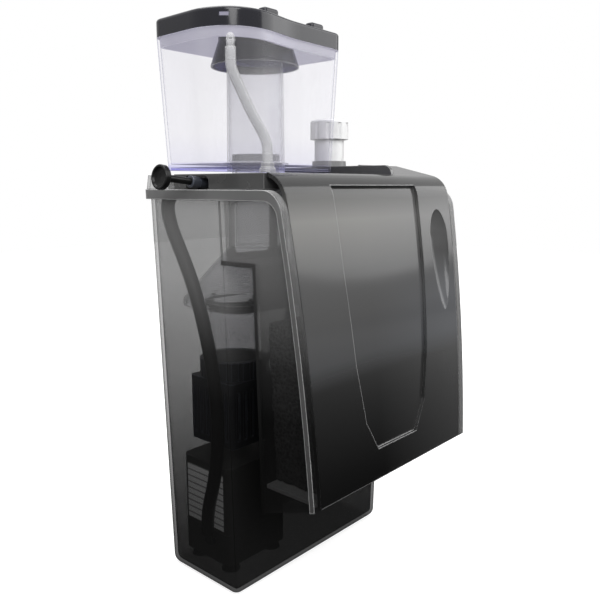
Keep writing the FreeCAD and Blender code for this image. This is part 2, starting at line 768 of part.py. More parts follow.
def build_reaction_chamber():
    """Clear funnel that gathers the bubbles, with its neck, spigot and lower tube."""
    body = new_body("reaction_chamber", AXIS)

    def section(level, shift, long, deep, radius):
        sketch = new_sketch(body, "XY_Plane", level)
        draw(sketch, soft_rectangle(f"({shift} - ({long}))", f"({shift} + ({long}))",
                                    f"({shift} - ({deep}))", f"({shift} + ({deep}))",
                                    f"({radius})"))
        return sketch

    # The funnel's mouth is centred in the box, a little aside from the riser's axis.
    def funnel(kind, inset):
        mouth = (-5, 60, 40, 20)
        neck = (0, "neck_r", "neck_r", "neck_r - 0.2")
        for low, high, sizes in (("-42", "-36", (mouth, mouth)), ("-36", "6", (mouth, neck))):
            first, last = (
                section(level, shape[0], *(f"{text} - ({inset})" for text in shape[1:]))
                for level, shape in zip((low, high), sizes))
            loft = body.newObject(f"PartDesign::{kind}Loft", f"chamber_{kind.lower()}_loft")
            loft.Profile = first
            loft.Sections = [last]
            loft.Ruled = True

    funnel("Additive", 0)
    sketch = new_sketch(body, "XY_Plane", "5")
    ring(sketch, "0", "0", "neck_r - 0.1")
    pad(body, sketch, "deck_high - 21")
    sketch = new_sketch(body, "XY_Plane", "deck_high - 17")
    ring(sketch, "0", "0", "spigot_r")
    pad(body, sketch, "26")
    funnel("Subtractive", "2.2")
    sketch = new_sketch(body, "XY_Plane", "0")
    ring(sketch, "0", "0", "spigot_r - 2.4")
    pocket(body, sketch)

    # Groove for the seal, round the spigot.
    sketch = new_sketch(body, "XZ_Plane")
    draw(sketch, [("spigot_r + 1", "75"), ("spigot_r + 1", "78"),
                  ("spigot_r - 0.8", "78"), ("spigot_r - 0.8", "75")])
    groove = body.newObject("PartDesign::Groove", "seal_groove")
    groove.Profile = sketch
    groove.ReferenceAxis = (sketch, ["V_Axis"])
    groove.Angle = 360

    # Lower tube that carries the bubbles up from the housing, tied in by four webs.
    sketch = new_sketch(body, "XY_Plane", "housing_top - 6")
    ring(sketch, "pump_x - axis_x", "pump_y - axis_y", "23")
    ring(sketch, "pump_x - axis_x", "pump_y - axis_y", "20.5")
    pad(body, sketch, "-38 - (housing_top - 6)")
    tube_x, tube_y = number("pump_x - axis_x"), number("pump_y - axis_y")
    for x0, x1, y0, y1 in (
        (-64, tube_x - 22, tube_y - 1, tube_y + 1), (tube_x + 22, 54, tube_y - 1, tube_y + 1),
        (tube_x - 1, tube_x + 1, -44, tube_y - 22), (tube_x - 1, tube_x + 1, tube_y + 22, 34),
    ):
        sketch = new_sketch(body, "XY_Plane", "-41")
        draw(sketch, rectangle(x0, x1, y0, y1))
        pad(body, sketch, "5")


def build_neck_seal():
    """O-ring in the spigot's groove."""
    seal = doc.addObject("Part::Torus", "neck_seal")
    bind(seal, Radius1="spigot_r + 0.78", Radius2="1.48", Placement__Base__x="axis_x",
         Placement__Base__y="axis_y", Placement__Base__z="76.5")
    keep(seal, "neck_seal")


def cup_outline(inset):
    """Plan of the cup about its reference point, drawn in by an inset: a bulged facet across
    the left front corner and a slightly hollow front."""
    radius = f"11 - ({inset})"
    shoulder = f"46 - 2 * ({inset})"
    return soften([
        (f"76 - ({inset})", f"-33 + ({inset})", radius),
        (f"76 - ({inset})", f"49.5 - ({inset})", radius),
        (f"-67 + ({inset})", f"49.5 - ({inset})", radius),
        (f"-68.5 + ({inset})", f"-12 + 0.3 * ({inset})", shoulder),
        (f"-57 + 0.69 * ({inset})", f"-33.5 + 0.72 * ({inset})", "30"),
        (f"-34 + 0.3 * ({inset})", f"-43.6 + ({inset})", shoulder),
        ("8", f"-35.5 + ({inset})", "120"),
    ])


def cup_form(name, low, high, inset_low, inset_high):
    """Solid on the cup's outline between two levels."""
    body = doc.addObject("PartDesign::Body", name)
    bind(body, Placement__Base__x="cup_x", Placement__Base__y="cup_y")
    sections = []
    for level, inset in ((low, inset_low), (high, inset_high)):
        sketch = new_sketch(body, "XY_Plane", level)
        draw(sketch, cup_outline(inset))
        sections.append(sketch)
    loft = body.newObject("PartDesign::AdditiveLoft", name + "_loft")
    loft.Profile = sections[0]
    loft.Sections = [sections[1]]
    loft.Ruled = True
    return body


def build_collection_cup():
    """Clear cup that collects the foam; its floor is raised inside a short foot."""
    outer = cup_form("cup_outer", "cup_base", "cup_rim", "cup_taper", "0")
    inner = cup_form("cup_inner", "cup_base + 5", "cup_rim + 1",
                     "cup_taper + cup_wall", "cup_wall")
    foot = cup_form("cup_foot", "cup_base - 1", "cup_base + 2.5",
                    "cup_taper + cup_wall + 0.2", "cup_taper + cup_wall")
    bore = placed("Part::Cylinder", "cup_bore", ("axis_x", "axis_y", "cup_base - 5"),
                  Radius="riser_bore + 2", Height="20")
    outlet = placed("Part::Cylinder", "cup_outlet", facet_place(-6),
                    heading=(*FACET_NORMAL, 0), Radius="3.2", Height="14")
    keep(cut("collection_cup", outer, inner, foot, bore, outlet), "collection_cup")


FACET_NORMAL = (-0.69, -0.724)                   # heading of the cup's facet
FACET_MIDDLE = (-56.4, -32.2)                    # its middle, from the cup's reference point
FACET_HEADING = math.degrees(math.atan2(FACET_NORMAL[1], FACET_NORMAL[0]))
ELBOW_LEVEL = 164.5


def facet_place(out, along=0.0, level=ELBOW_LEVEL):
    """Point off the facet's middle: a distance outside it and a distance along it."""
    across, back = FACET_NORMAL
    return (f"cup_x + ({FACET_MIDDLE[0] + out * across - along * back:.2f})",
            f"cup_y + ({FACET_MIDDLE[1] + out * back + along * across:.2f})", str(level))


def build_cup_riser():
    """Clear centre tube of the cup; foam climbs it and spills over its rim."""
    turned("cup_riser", [
        ("riser_bore + 1.8", "cup_base"), ("riser_bore + 1.8", "cup_base + 5.1"),
        ("riser_bore + 5", "cup_base + 5.1"), ("riser_bore + 5", "cup_base + 7"),
        ("riser_bore + 1.7", "cup_base + 7.6"), ("riser_bore + 0.8", "riser_top - 1"),
        ("riser_bore + 0.2", "riser_top"), ("riser_bore - 0.6", "riser_top"),
        ("riser_bore - 0.6", "riser_top - 2"), ("riser_bore", "100"), ("riser_bore", "cup_base"),
    ], AXIS)


def build_cup_lid():
    """Charcoal lid with a plug skirt, two lifting tabs and a small air vent over the elbow."""
    cap = doc.addObject("PartDesign::Body", "lid_cap")
    bind(cap, Placement__Base__x="cup_x", Placement__Base__y="cup_y")
    sketch = new_sketch(cap, "XY_Plane", "cup_rim")
    draw(sketch, cup_outline("0"))
    pad(cap, sketch, "lid_top - cup_rim")
    top = number("lid_top")
    round_edges(cap, "2.5", lambda edge: edge.BoundBox.ZMin > top - 0.01)
    skirt = cup_form("lid_skirt", "cup_rim - 7", "cup_rim + 2", "cup_wall + 0.7", "cup_wall + 0.3")
    room = cup_form("lid_room", "cup_rim - 8", "lid_top - 2.5", "cup_wall + 2.8", "cup_wall + 2.2")
    tabs = []
    for x, y in ((-22, -34), (40, -28)):
        tab = placed("Part::Box", "lid_tab", (f"cup_x + ({x})", f"cup_y + ({y})", "lid_top - 1"),
                     Length="16", Width="9", Height="6.5")
        tabs.append(rounded("lid_tab_soft", tab, [
            (lambda edge: edge.CenterOfMass.z > top + 1, "2.4")]))
    vent = placed("Part::Box", "lid_vent", facet_place(-7, -8, top - 7),
                  Length="12", Width="6.8", Height="2.4")
    vent.Placement.Rotation = FreeCAD.Rotation(FreeCAD.Vector(0, 0, 1), FACET_HEADING)
    keep(cut("cup_lid", fuse("lid_solid", cap, skirt, *tabs), room, vent), "cup_lid")


def build_foam_deflector():
    """Tinted bell under the lid that turns the foam down into the cup."""
    turned("foam_deflector", [
        ("0", "lid_top - 4.2"), ("0", "lid_top - 2.6"), ("30", "lid_top - 2.6"), ("30.4", "176"),
        ("37", "156.5"), ("37", "155.5"), ("35.6", "155.5"), ("28.9", "175.6"),
        ("28.5", "lid_top - 4.2"),
    ], AXIS)


def bent_pipe(label, at, turn, corners, bend, outer, bore):
    """Pipe that starts along its own +X and turns square corners (x, z) in its own XZ plane; the
    last corner is its end."""
    body = new_body(label, at, turn)
    places = [FreeCAD.Vector()] + [FreeCAD.Vector(x, z, 0) for x, z in corners]
    for kind, radius in (("Additive", outer), ("Subtractive", bore)):
        spine = new_sketch(body, "XZ_Plane")
        start = places[0]
        for before, corner, after in zip(places, places[1:], places[2:]):
            back = (before - corner).normalize() * bend
            ahead = (after - corner).normalize() * bend
            middle = corner + (back + ahead) * (1 - math.sqrt(0.5))
            spine.addGeometry(Part.LineSegment(start, corner + back))
            spine.addGeometry(Part.Arc(corner + back, middle, corner + ahead))
            start = corner + ahead
        spine.addGeometry(Part.LineSegment(start, places[-1]))
        profile = new_sketch(body, "YZ_Plane")
        ring(profile, "0", "0", radius)
        feature = body.newObject(f"PartDesign::{kind}Pipe", f"{label}_{kind.lower()}_pipe")
        feature.Profile = profile
        feature.Spine = spine
    return body


def build_cup_elbow():
    """Clear outlet elbow on the cup's facet: out, then down."""
    bent_pipe("cup_elbow", facet_place(-3), ((0, 0, 1), FACET_HEADING), [(15, 0), (15, -16)], 5,
              "2.9", "1.9")


CONNECTOR = ("-63.5", "12.3", "deck_top")


def build_clear_tube():
    """Soft clear tube from the elbow down the outside of the cup to the connector."""
    x, y, z = facet_place(12)
    tube_along("clear_tube", [
        (x, y, f"{z} - 8"), (x, y, f"{z} - 13"), (x, y, f"{z} - 18"), (x, y, f"{z} - 23"),
        ("-84", "18.6", "127"), ("-76.5", "16.2", "111"), ("-67.5", "13.5", "98"),
        (*CONNECTOR[:2], "deck_top + 22"), (*CONNECTOR[:2], "deck_top + 18"),
        (*CONNECTOR[:2], "deck_top + 14"), (*CONNECTOR[:2], "deck_top + 9.4"),
    ], "tube_r", "3")


def build_tube_connector():
    """Small clear fitting at the foot of the tube, standing on the deck."""
    turned("tube_connector", [
        ("0", "0.2"), ("6.2", "0.2"), ("6.2", "4"), ("5", "5.5"), ("5", "8.6"),
        ("2.9", "8.8"), ("2.9", "16"), ("1.8", "16"), ("1.8", "2"), ("0", "2"),
    ], CONNECTOR)


# --- air valve and hose -----------------------------------------------------------------------

VALVE_TURN = ((0, 1, 0), "-90 + valve_tilt")


def valve_place(out):
    """Point on the valve's drooping axis, a distance outside the deck's side."""
    return (f"-case_width / 2 + 3 - ({out}) * cos(valve_tilt * 1 deg)", "valve_y",
            f"valve_level + ({out}) * sin(valve_tilt * 1 deg)")


def build_air_valve():
    """Needle valve clipped in the deck's arch, and the dished knob that turns it."""
    turned("air_valve_body", [
        ("stem_r + 0.06", "-12"), ("stem_r + 0.06", "7"), ("4.4", "7"), ("4.4", "0"),
        ("3.6", "-1"), ("3.6", "-12"),
    ], valve_place("1.5"), VALVE_TURN)
    face = "valve_reach - 1.5"
    turned("air_valve_knob", [
        ("0", "-9"), ("0.8", "-9"), ("stem_r", "-5"), ("stem_r", f"{face} - 7"),
        ("4", f"{face} - 6"), ("8.2", f"{face} - 5"), ("9", f"{face} - 4"),
        ("9", f"{face} - 0.6"), ("8.5", f"{face}"), ("7.4", f"{face}"),
        ("6.4", f"{face} - 1.2"), ("4.5", f"{face} - 2.2", "-8"), ("0", f"{face} - 2.6"),
    ], valve_place("1.5"), VALVE_TURN)


NOZZLE_X = "pump_x - pump_long / 2 - 7"           # the hose comes down beside the pump


def build_air_hose():
    """Dark hose from the valve down the left side to the pump's air nozzle."""
    tube_along("air_hose", [
        (-97, "valve_y + 8", 54), (-97, 66, 54), (-96.5, 84, 54), (-96, 96, 46), (-95.5, 94, 28),
        (-95, 80, 5), (-95, 66, -20), (-94.5, 55, -50), (-93, 47, -85), (-90.5, 44, -125),
        (NOZZLE_X, 47, -165), (NOZZLE_X, 55, -198), (NOZZLE_X, "pump_y - 10", -216),
        (NOZZLE_X, "pump_y - 10", -236)],
        "hose_r", "hose_r - 2")


# --- level adjuster ---------------------------------------------------------------------------

LEVEL = ("level_x", "level_y", "0")


def build_level_adjuster():
    """Collar on the deck, and the white pipe and cap that turn in it to set the water level."""
    turned("level_collar", [
        ("pipe_r + 0.08", "deck_high"), ("pipe_r + 2.4", "deck_high"),
        ("pipe_r + 2", "deck_high + 6"), ("pipe_r + 0.08", "deck_high + 6"),
    ], LEVEL)
    pipe = turned("level_pipe", [
        ("pipe_r - 2.4", "-12"), ("pipe_r", "-12"), ("pipe_r", "101"), ("pipe_r - 2.4", "101"),
    ], LEVEL)
    # Side window; turning the pipe opens or throttles it.
    sketch = new_sketch(pipe, "XZ_Plane", "pipe_r - 5")
    draw(sketch, soft_rectangle("-7", "7", "6", "34", "3"))
    pocket(pipe, sketch, "10")
    cap = turned("level_cap", [
        ("0", "101.1"), ("18", "101.1"), ("18", "117"), ("16.5", "119", "2.5"), ("12", "119"),
        ("11", "117.5"), ("0", "117.5"),
    ], LEVEL)
    sketch = new_sketch(cap, "XY_Plane", "100")
    ring(sketch, "17.6 + 1.9", "0", "2.4")
    around(cap, pocket(cap, sketch, "16"), 10)
    # Sleeve that the pipe turns in, held off the box's rear wall by a web.
    sleeve = turned("level_sleeve", [
        ("pipe_r + 0.08", "-10"), ("pipe_r + 2.2", "-10"), ("pipe_r + 2.2", "40"),
        ("pipe_r + 0.08", "40"),
    ], LEVEL)
    sketch = new_sketch(sleeve, "XZ_Plane", "pipe_r - 5")
    draw(sketch, soft_rectangle("-7", "7", "8", "32", "3"))
    pocket(sleeve, sketch, "12")
    web = new_sketch(sleeve)
    draw(web, rectangle("4", "7", "pipe_r + 0.6", "case_back - wall - 0.2 - level_y"))
    pad(sleeve, web, "36")


# --- pump -------------------------------------------------------------------------------------

PUMP = ("pump_x", "pump_y", "0")
ROTOR_FOOT, ROTOR_HEAD = -233, -200


def pump_block(label, low, high):
    """Rounded block on the pump's plan."""
    return plate(label, soft_rectangle(
        "-pump_long / 2", "pump_long / 2", "-pump_deep / 2", "pump_deep / 2", "7"), low, high, PUMP)


def build_pump():
    """Needle-wheel pump that stands on the floor of the box, its intake underneath."""
    motor = pump_block("pump_motor", "volute_top + 0.1", "motor_top")
    sketch = new_sketch(motor, "XY_Plane", "volute_top")
    ring(sketch, "0", "0", "13")
    pocket(motor, sketch, f"{ROTOR_HEAD} + 6 - volute_top")
    volute = pump_block("pump_volute", "pump_foot", "volute_top")
    sketch = new_sketch(volute, "XY_Plane", "pump_foot + 4")
    ring(sketch, "0", "0", "24")
    pocket(volute, sketch, "40")
    sketch = new_sketch(volute, "XY_Plane", "pump_foot - 1")
    ring(sketch, "0", "0", "11")
    pocket(volute, sketch, "10")
    sketch = new_sketch(volute, "YZ_Plane", "-pump_long / 2 - 1")
    ring(sketch, "-10", "-246", "3.1")
    pocket(volute, sketch, "22")
    sketch = new_sketch(volute, "YZ_Plane", "pump_long / 2 + 1")
    ring(sketch, "0", "-250", "8.1")
    pocket(volute, sketch, "30", upward=False)
    bent_pipe("air_nozzle", (f"{NOZZLE_X} + 13", "pump_y - 10", "-246"), ((0, 1, 0), 180),
              [(13, 0), (13, -20)], 5, "3", "1.8")
    feet()
    rotor()
    label = plate("pump_label", rectangle("0", "0.5", "-23", "23"), "-233", "-183",
                  ("pump_x - pump_long / 2 - 0.6", "pump_y", "0"))
    round_edges(label, "0.2", is_upright)
    outlet()


def feet():
    """Four rubber feet under the pump, in one node."""
    floor_top = f"{FLOOR} + wall + 0.1"
    cups = [
        placed("Part::Cone", "pump_foot_cup", (f"pump_x + ({x})", f"pump_y + ({y})", floor_top),
               Radius1="8", Radius2="5", Height=f"pump_foot - 0.1 - ({floor_top})")
        for x in (-25, 25) for y in (-20, 20)
    ]
    group = doc.addObject("Part::Compound", "pump_feet")
    group.Links = cups
    keep(group, "pump_feet")


def rotor():
    """Magnet rotor and needle wheel on a fixed ceramic shaft between two bushes."""
    turned("rotor_magnet", [
        ("shaft_r + 0.05", f"{ROTOR_FOOT}"), ("12", f"{ROTOR_FOOT}"), ("12", f"{ROTOR_HEAD}"),
        ("shaft_r + 0.05", f"{ROTOR_HEAD}"),
    ], PUMP)
    wheel = turned("needle_wheel", [
        ("shaft_r + 0.05", "-256"), ("5", "-256"), ("5", "-241"), ("21", "-241"), ("21", "-238"),
        ("7", "-238"), ("7", f"{ROTOR_FOOT} - 0.1"), ("shaft_r + 0.05", f"{ROTOR_FOOT} - 0.1"),
    ], PUMP)
    for radius, pins in ((9.5, 10), (14, 14), (18.5, 18)):
        sketch = new_sketch(wheel, "XY_Plane", "-254")
        ring(sketch, str(radius), "0", "0.8")
        around(wheel, pad(wheel, sketch, "13.5"), pins)
    keep(placed("Part::Cylinder", "impeller_shaft", ("pump_x", "pump_y", "-259.4"),
                Radius="shaft_r", Height="62"), "impeller_shaft")
    turned("shaft_bushes", [
        ("shaft_r + 0.02", "-199.5"), ("6", "-199.5"), ("6", "-194.5"), ("shaft_r + 0.02", "-194.5"),
    ], PUMP)


def outlet():
    """Discharge pipe, the ribbed bubble housing with its perforated plate, and the union nut."""
    bent_pipe("discharge_pipe", ("pump_x + pump_long / 2 - 9", "pump_y", "-250"), None,
              [(25, 0), (25, 100), (-2, 100)], 12, "7.9", "5.8")
    side = "(housing_side / 2)"
    body = plate("bubble_housing", soft_rectangle(f"-{side}", side, f"-{side}", side, "4"),
                 "housing_foot", "housing_top", PUMP)
    inner = "(housing_side / 2 - 3.4)"
    sketch = new_sketch(body, "XY_Plane", "housing_foot + 3")
    draw(sketch, soft_rectangle(f"-{inner}", inner, f"-{inner}", inner, "3"))
    pocket(body, sketch, "housing_top - housing_foot - 6")
    sketch = new_sketch(body, "XY_Plane", "housing_top - 8")
    ring(sketch, "0", "0", "23.4")
    pocket(body, sketch)
    sketch = new_sketch(body, "YZ_Plane", "housing_side / 2 + 1")
    ring(sketch, "0", "-150", "8.1")
    pocket(body, sketch, "12", upward=False)
    # Vertical ribs: shallow flutes cut round the outside.
    for plane in ("XZ_Plane", "YZ_Plane"):
        flutes(body, plane)
    plate_body = plate("diffuser_plate", soft_rectangle(
        "-(housing_side / 2 - 3.8)", "(housing_side / 2 - 3.8)", "-(housing_side / 2 - 3.8)",
        "(housing_side / 2 - 3.8)", "2.6"), "-131", "-128", PUMP)
    for radius, holes in ((6, 6), (12, 12), (18, 18)):
        sketch = new_sketch(plate_body, "XY_Plane", "-132")
        ring(sketch, str(radius), "0", "1.5")
        around(plate_body, pocket(plate_body, sketch), holes)
    nut = turned("union_nut", [
        ("23.4", "housing_top + 0.1"), ("29", "housing_top + 0.1"), ("29", "housing_top + 16"),
        ("23.4", "housing_top + 16"),
    ], PUMP)
    sketch = new_sketch(nut, "XY_Plane", "housing_top")
    ring(sketch, "30.6", "0", "2.6")
    around(nut, pocket(nut, sketch), 18)


def flutes(body, plane):
    """Shallow upright grooves on two opposite sides of the bubble housing."""
    count = 6
    pitch = 8
    first = -(count - 1) * pitch / 2
    for side in (1, -1):
        sketch = new_sketch(body, plane, f"{side} * (housing_side / 2 + 1)")
        draw(sketch, soft_rectangle(f"({first} - 2)", f"({first} + 2)", "(housing_foot + 6)",
                                    "(housing_top - 8)", "1.9"))
        cutter = pocket(body, sketch, "1 + 1.6", upward=side < 0)
        line = "X_Axis" if plane == "XZ_Plane" else "Y_Axis"
        along(body, cutter, line, (count - 1) * pitch, count)


def build_power_cable():
    """Mains lead from the motor up the rear right and out through a grommet in the rear wall."""
    exit_x, exit_z = CABLE_EXIT
    motor_side = ("pump_x + 31.6", "pump_y + 20")
    tube_along("power_cable", [
        (*motor_side, "motor_top + 0.3"), (*motor_side, "-130"),
        (10, 94, -110), (48, 94, -90), (52, 95, -30), (exit_x, 92, 10), (exit_x, 92, exit_z),
        (exit_x, 98, exit_z), (exit_x, 112, exit_z), (exit_x, 124, exit_z), (exit_x, 119, 10),
        (exit_x, 119, -40)], "3.2", None)
    turned("cable_grommet", [
        ("3.3", "-4.2"), ("8", "-4.2"), ("8", "-3.1"), ("6.3", "-3.1"), ("6.3", "0.1"),
        ("8", "0.1"), ("7.4", "2.2"), ("3.3", "2.2"),
    ], (exit_x, "case_back", exit_z), ((1, 0, 0), "-90"))


for build in (
    build_outer_case, build_front_cover, build_deck_cover, build_outlet_grille,
    build_bubble_trap_foam, build_reaction_chamber, build_neck_seal, build_collection_cup,
    build_cup_riser, build_cup_lid, build_foam_deflector, build_cup_elbow, build_clear_tube,
    build_tube_connector, build_air_valve, build_air_hose, build_level_adjuster, build_pump,
    build_power_cable,
):
    build()
doc.recompute()

for thing in doc.Objects:
    if "Invalid" in thing.State or "Error" in thing.State:
        raise RuntimeError(f"{thing.Label}: {thing.State}")
for thing in subparts:
    if thing.Shape.isNull() or not thing.Shape.isValid():
        raise RuntimeError(f"{thing.Label}: bad shape")

os.makedirs("parts", exist_ok=True)
for thing in subparts:
    thing.Shape.exportStep(f"parts/{thing.Label}.step")
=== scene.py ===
import json
import math

import bpy
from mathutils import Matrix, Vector, noise


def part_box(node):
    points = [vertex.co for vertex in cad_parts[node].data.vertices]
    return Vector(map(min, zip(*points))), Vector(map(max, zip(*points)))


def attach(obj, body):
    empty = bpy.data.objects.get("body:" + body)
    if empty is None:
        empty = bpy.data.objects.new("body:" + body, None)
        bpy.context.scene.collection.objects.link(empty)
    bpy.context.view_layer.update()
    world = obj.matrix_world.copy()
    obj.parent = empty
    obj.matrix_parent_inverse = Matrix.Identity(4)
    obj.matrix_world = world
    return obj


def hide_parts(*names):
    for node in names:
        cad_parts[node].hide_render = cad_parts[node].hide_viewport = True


# Looks of a hang-on protein skimmer: smoked see-through box and hood, clear foam cup, dark trim.

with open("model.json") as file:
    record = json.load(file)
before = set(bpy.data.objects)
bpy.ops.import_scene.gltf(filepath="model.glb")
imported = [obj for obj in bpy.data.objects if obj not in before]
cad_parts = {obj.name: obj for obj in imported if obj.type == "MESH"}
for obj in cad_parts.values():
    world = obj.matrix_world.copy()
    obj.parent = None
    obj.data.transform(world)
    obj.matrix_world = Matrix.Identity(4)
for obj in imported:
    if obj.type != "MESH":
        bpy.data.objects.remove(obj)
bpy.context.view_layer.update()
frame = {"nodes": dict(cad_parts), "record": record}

FLOOR_LEVEL = -0.275
RIM_LEVEL = 0.055
CASE_HALF_WIDTH = 0.1095         # of the side walls, at the rim
DRAFT = 0.0374                   # how fast the side walls draw in going down
BEAD_REACH = 0.004               # how far the rolled bead stands out behind the rear wall
CASE_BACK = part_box("outer_case")[1][1] - BEAD_REACH
CUP_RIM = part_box("collection_cup")[1][2]     # the lid's outer skin stands on it
SKIN_STEP = 0.0002               # a face this far outside a wall is no longer part of it
LID_STEP = 0.001                 # a face this far below the cup's rim is inside the lid

SLOT_SHEET = 0.0165              # middle of each sheet beside the tank slot, at the bridge
SLOT_LEAN = 0.0052               # half the lean of the box's sheet; the hood's stands upright
SHEET_HALF = 0.0017              # half a sheet's thickness, and half the bridge's

EDGE_RADIUS = 0.0007             # rounding that a shaded edge shows
EDGE_LINE = 0.0012               # width of the painted line along an edge: a pale painted highlight on most finishes, a dark painted shade on some
EDGE_GAIN = 7.0                  # how soon that line reaches its full strength
TILT_GAIN = 12.0                 # how soon an edge that turns left counts as shaded
FRONT_COVER_SHARE = 0.9          # how much of what is behind the front cover it hides
GRAZING_POWER = 5.0              # how sharply a surface's look changes as it turns away
MIRROR_FACE_ON = 0.03            # share of light mirrored by a surface that faces the eye
MIRROR_SIDE_ON = 0.9             # share added once it has turned away


# --- node helpers -------------------------------------------------------------------------------

class Nodes:
    """A node tree under construction: makes nodes and links their sockets by name."""

    def __init__(self, holder, output):
        holder.use_nodes = True
        self.holder = holder
        self.tree = holder.node_tree
        self.tree.nodes.clear()
        self.output = self.add(output)

    def add(self, kind, **inputs):
        """Node with its inputs set to values or linked to other nodes' outputs."""
        node = self.tree.nodes.new(kind)
        for label, value in inputs.items():
            self.feed(node, label.replace("_", " "), value)
        return node

    def feed(self, node, label, value):
        """Set one input, or link it."""
        socket = node.inputs[int(label)] if label.isdigit() else node.inputs[label]
        if isinstance(value, bpy.types.NodeSocket):
            self.tree.links.new(value, socket)
        else:
            socket.default_value = value

    def maths(self, operation, first, second=0.0, third=0.0, clamp=False):
        """Result of an operation on up to three values, held between 0 and 1 if clamped."""
        node = self.tree.nodes.new("ShaderNodeMath")
        node.operation = operation
        node.use_clamp = clamp
        for place, value in enumerate((first, second, third)):
            self.feed(node, str(place), value)
        return node.outputs[0]

    def part_of(self, vector, axis):
        """One of a vector's three parts."""
        return self.add("ShaderNodeSeparateXYZ", Vector=vector).outputs[axis]

    def span(self, value, low, high, start=0.0, end=1.0):
        """Value run from start at low to end at high, and held there outside."""
        return self.add("ShaderNodeMapRange", Value=value, From_Min=low, From_Max=high,
                        To_Min=start, To_Max=end).outputs["Result"]

    def seen(self):
        """1 for what the camera sees directly and 0 for every other ray."""
        return self.add("ShaderNodeLightPath").outputs["Is Camera Ray"]

    def finish(self, surface):
        """Link the surface to the output and hand over what holds the tree."""
        self.tree.links.new(surface, self.output.inputs["Surface"])
        return self.holder


class Shader(Nodes):
    """A material under construction, with patterns placed in the object's own frame."""

    def __init__(self, name):
        super().__init__(bpy.data.materials.new(name), "ShaderNodeOutputMaterial")
        self.place = self.add("ShaderNodeTexCoord").outputs["Object"]

    def noise(self, scale, detail=3.0):
        """Fine random pattern, 0 to 1."""
        return self.add("ShaderNodeTexNoise", Vector=self.place, Scale=scale, Detail=detail).outputs[0]

    def shade(self, look):
        """Colour input from a grey, a colour or a function of the shader."""
        return look(self) if callable(look) else rgba(look)

    def ramp(self, value, *stops):
        """Colour by value; stops are (position, grey or colour)."""
        node = self.add("ShaderNodeValToRGB", Fac=value)
        band = node.color_ramp
        while len(band.elements) < len(stops):
            band.elements.new(1.0)
        for element, (position, shade) in zip(band.elements, stops):
            element.position = position
            element.color = rgba(shade)
        return node.outputs["Color"]

    def by_level(self, low, high, *stops):
        """Colour by level, with stops from 0 at low to 1 at high."""
        return self.ramp(self.span(self.part_of(self.place, "Z"), low, high), *stops)

    def bump(self, value, strength, distance=0.0004):
        """Normal roughened by a pattern, on edges that are a little rounded."""
        node = self.add("ShaderNodeBump", Height=value, Strength=strength, Distance=distance,
                        Normal=self.rounded(EDGE_RADIUS))
        return node.outputs["Normal"]

    def rounded(self, radius):
        """Normal that turns smoothly over an edge."""
        node = self.add("ShaderNodeBevel", Radius=radius)
        node.samples = 4
        return node.outputs[0]

    def edge(self):
        """1 along edges and 0 on open faces."""
        between = self.tree.nodes.new("ShaderNodeVectorMath")
        between.operation = "DOT_PRODUCT"
        self.feed(between, "0", self.rounded(EDGE_LINE))
        self.feed(between, "1", self.add("ShaderNodeNewGeometry").outputs["Normal"])
        turned = self.maths("SUBTRACT", 1.0, between.outputs["Value"])
        return self.maths("MULTIPLY", turned, EDGE_GAIN, clamp=True)

    def blend(self, factor, first, second):
        """Blend of two colours."""
        node = self.tree.nodes.new("ShaderNodeMix")
        node.data_type = "RGBA"
        self.feed(node, "0", factor)
        self.feed(node, "6", first)
        self.feed(node, "7", second)
        return node.outputs[2]

    def mix(self, factor, first, second):
        """Blend of two shaders."""
        node = self.tree.nodes.new("ShaderNodeMixShader")
        self.feed(node, "0", factor)
        self.feed(node, "1", first)
        self.feed(node, "2", second)
        return node.outputs[0]

    def plastic(self, colour, roughness, normal, **more):
        """Opaque gloss or matt surface."""
        return self.add("ShaderNodeBsdfPrincipled", Base_Color=colour, Roughness=roughness,
                        Normal=normal, **more).outputs[0]


def rgba(shade):
    """Colour with alpha from a grey or a colour."""
    return (shade, shade, shade, 1.0) if isinstance(shade, (int, float)) else (*shade, 1.0)


# --- materials ----------------------------------------------------------------------------------

def solid_plastic(name, shade, roughness, grain=0.03, grain_scale=900.0, coat=0.0, painted_edge_highlight=1.6,
                  mirror=0.5):
    """Opaque moulding: slight mottle, fine grain, and a painted highlight that makes its edges paler
    than its faces by a given factor.
    """
    s = Shader(name)
    mottle = s.noise(60.0)
    plain = rgba(shade)[:3]
    dark = tuple(channel * 0.85 for channel in plain)
    # pale: colour of the painted highlight along the edges
    pale = tuple(min(channel * painted_edge_highlight, 0.9) for channel in plain)
    colour = s.blend(s.edge(), s.ramp(mottle, (0.3, dark), (0.7, plain)), rgba(pale))
    spread = 0.12                # of the roughness, over the mottle
    rough = s.maths("MULTIPLY_ADD", mottle, spread, roughness - spread / 2)
    return s.finish(s.plastic(colour, rough, s.bump(s.noise(grain_scale), grain),
                              Specular_IOR_Level=mirror, Coat_Weight=coat, Coat_Roughness=0.06))


